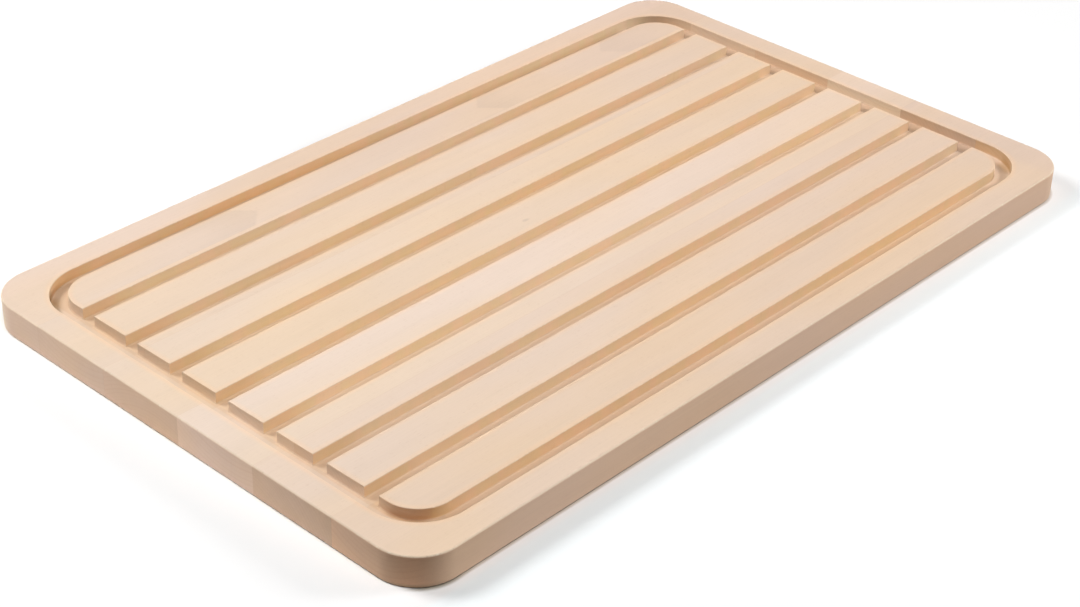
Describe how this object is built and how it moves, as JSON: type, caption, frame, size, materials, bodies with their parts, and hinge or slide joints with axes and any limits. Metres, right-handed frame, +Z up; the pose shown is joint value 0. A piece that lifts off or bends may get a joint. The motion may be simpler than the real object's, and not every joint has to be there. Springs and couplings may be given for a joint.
{
  "type": "bread board",
  "caption": "Rectangular beech bread board with round corners, glued up from staves, with a groove inside its rim and crumb grooves between raised slats for slicing bread on.",
  "frame": {"origin": "middle of the flat underside", "axes": "+X along the grain and the longer side, +Y across the staves towards the back edge, +Z up out of the slatted face"},
  "size_m": [0.53, 0.325, 0.018],
  "materials": {
    "beech_yellow": "untreated, sanded smooth, slightly yellow",
    "beech_pale": "untreated, sanded smooth, the palest stave",
    "beech_pink": "untreated, sanded smooth, slightly darker and pinker"
  },
  "bodies": {
    "root": {"front_edge_stave": "beech_pink", "front_stave": "beech_pink", "mid_front_stave": "beech_pale", "mid_back_stave": "beech_yellow", "back_stave": "beech_yellow", "back_edge_stave": "beech_yellow"}
  },
  "joints": []
}
